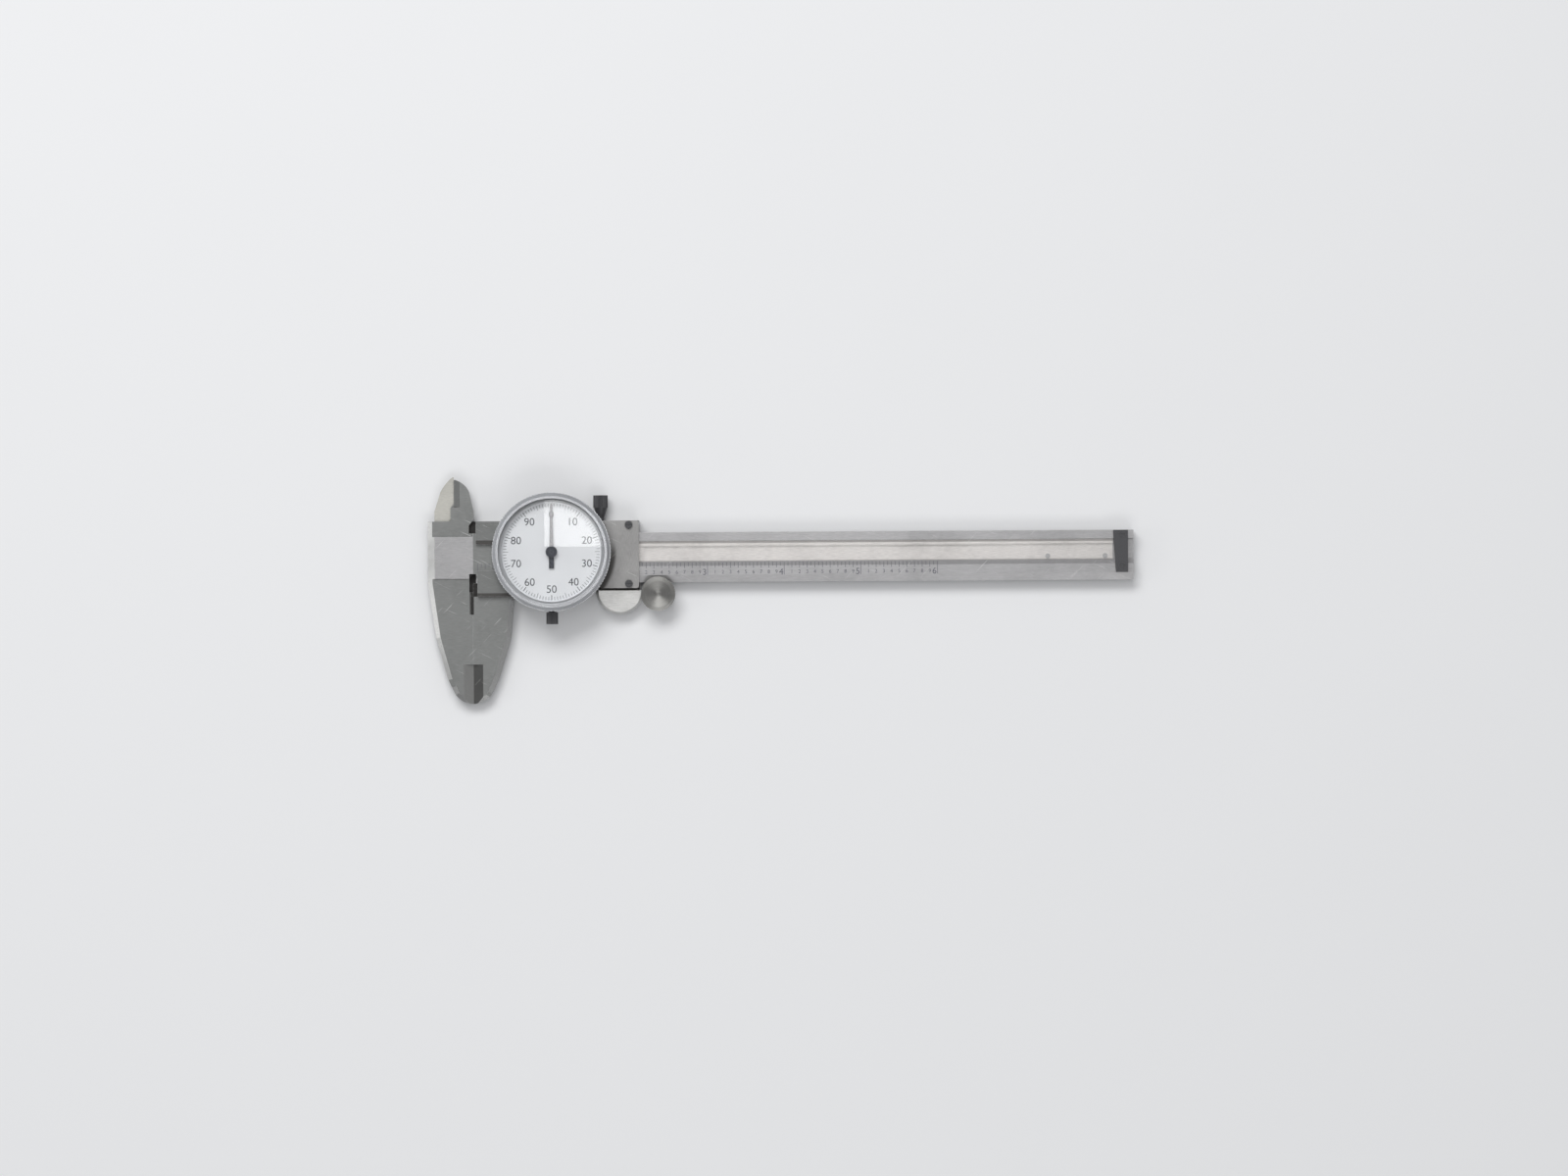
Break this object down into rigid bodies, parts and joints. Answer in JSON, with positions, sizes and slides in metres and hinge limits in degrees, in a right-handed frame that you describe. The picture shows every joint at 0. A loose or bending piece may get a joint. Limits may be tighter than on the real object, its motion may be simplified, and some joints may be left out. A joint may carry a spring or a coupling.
{
  "type": "dial caliper",
  "caption": "Steel dial caliper with outside jaws, inside nibs, depth rod, rack driven dial with turning bezel, thumb roller and lock screw.",
  "frame": {"origin": "on the plane that the slide's back plate rests on, under the dial's axis", "axes": "+X along the beam away from the jaws, +Y across the beam towards the inside nibs, +Z out of the dial"},
  "size_m": [0.2339, 0.0753, 0.0162],
  "materials": {
    "ground_steel": "ground lengthways",
    "rack_steel": "bright drawn",
    "satin_steel": "satin",
    "bright_steel": "turned and polished",
    "chromed_brass": "satin chrome",
    "black_oxide": "blackened",
    "brass": "machined",
    "white_dial": "matt white enamel",
    "pointer_black": "matt black",
    "clear_crystal": "clear"
  },
  "bodies": {
    "beam": {"beam": "ground_steel", "rack": "rack_steel", "rack_screws": "rack_steel", "end_stop": "black_oxide", "end_stop_screws": "black_oxide"},
    "slide": {"slide": "satin_steel", "back_plate": "satin_steel", "back_plate_screws": "bright_steel", "gib": "brass", "gib_screws": "bright_steel", "depth_rod": "ground_steel", "depth_rod_screw": "bright_steel", "dial_plate": "satin_steel", "plate_screws": "black_oxide", "thumb_rest": "bright_steel", "thumb_rest_screws": "bright_steel", "dial_case": "satin_steel", "case_screws": "bright_steel", "bezel_snap_ring": "bright_steel", "bridge": "brass", "bridge_pillars": "brass", "bridge_screws": "bright_steel", "arbor_bushes": "brass", "hairspring": "bright_steel", "hairspring_stud": "brass"},
    "bezel": {"bezel": "chromed_brass", "dial_face": "white_dial", "dial_ring": "satin_steel", "crystal": "clear_crystal"},
    "pointer": {"pointer": "pointer_black", "pointer_hub": "pointer_black", "centre_arbor": "bright_steel"},
    "drive": {"drive_arbor": "bright_steel", "drive_wheel": "brass"},
    "take_up": {"take_up_arbor": "bright_steel", "take_up_wheel": "brass"},
    "roller": {"roller_wheel": "bright_steel", "roller_axle": "bright_steel"},
    "lock_shoe": {"lock_shoe": "brass"},
    "lock_screw": {"lock_screw": "black_oxide"},
    "clamp_shoe": {"clamp_shoe": "brass"},
    "clamp_screw": {"clamp_screw": "black_oxide"}
  },
  "joints": [
    {"name": "slide_travel", "type": "slide", "parent": "beam", "child": "slide", "axis": [1, 0, 0], "range_m": [0, 0.1524]},
    {"name": "bezel_turn", "type": "hinge", "parent": "slide", "child": "bezel", "pos_m": [0, 0, 0.0136], "axis": [0, 0, 1], "continuous": true},
    {"name": "pointer_spin", "type": "hinge", "parent": "slide", "child": "pointer", "pos_m": [0, 0, 0.013], "axis": [0, 0, 1], "continuous": true},
    {"name": "drive_spin", "type": "hinge", "parent": "slide", "child": "drive", "pos_m": [-0.0075, 0, 0.0095], "axis": [0, 0, 1], "continuous": true},
    {"name": "take_up_spin", "type": "hinge", "parent": "slide", "child": "take_up", "pos_m": [0.0075, 0, 0.0095], "axis": [0, 0, 1], "continuous": true},
    {"name": "roller_spin", "type": "hinge", "parent": "slide", "child": "roller", "pos_m": [0.035, -0.01405, 0.0055], "axis": [0, 0, 1], "continuous": true},
    {"name": "lock_screw_feed", "type": "slide", "parent": "slide", "child": "lock_shoe", "axis": [0, -1, 0], "range_m": [0, 0.00045]},
    {"name": "lock_screw_turn", "type": "hinge", "parent": "lock_shoe", "child": "lock_screw", "pos_m": [0.016, 0.0166, 0.0033], "axis": [0, -1, 0], "range_deg": [0, 360]},
    {"name": "clamp_screw_feed", "type": "slide", "parent": "slide", "child": "clamp_shoe", "axis": [0, 1, 0], "range_m": [0, 0.00045]},
    {"name": "clamp_screw_turn", "type": "hinge", "parent": "clamp_shoe", "child": "clamp_screw", "pos_m": [0, -0.022, 0.0095], "axis": [0, 1, 0], "range_deg": [0, 360]}
  ],
  "couplings": [
    {"joint": "pointer_spin", "follows": "slide_travel", "rad_per_m": -2473.7},
    {"joint": "drive_spin", "follows": "slide_travel", "rad_per_m": 618.42},
    {"joint": "take_up_spin", "follows": "slide_travel", "rad_per_m": 618.42},
    {"joint": "roller_spin", "follows": "slide_travel", "rad_per_m": 263.16},
    {"joint": "lock_screw_turn", "follows": "lock_screw_feed", "rad_per_m": 13963},
    {"joint": "clamp_screw_turn", "follows": "clamp_screw_feed", "rad_per_m": 13963}
  ]
}
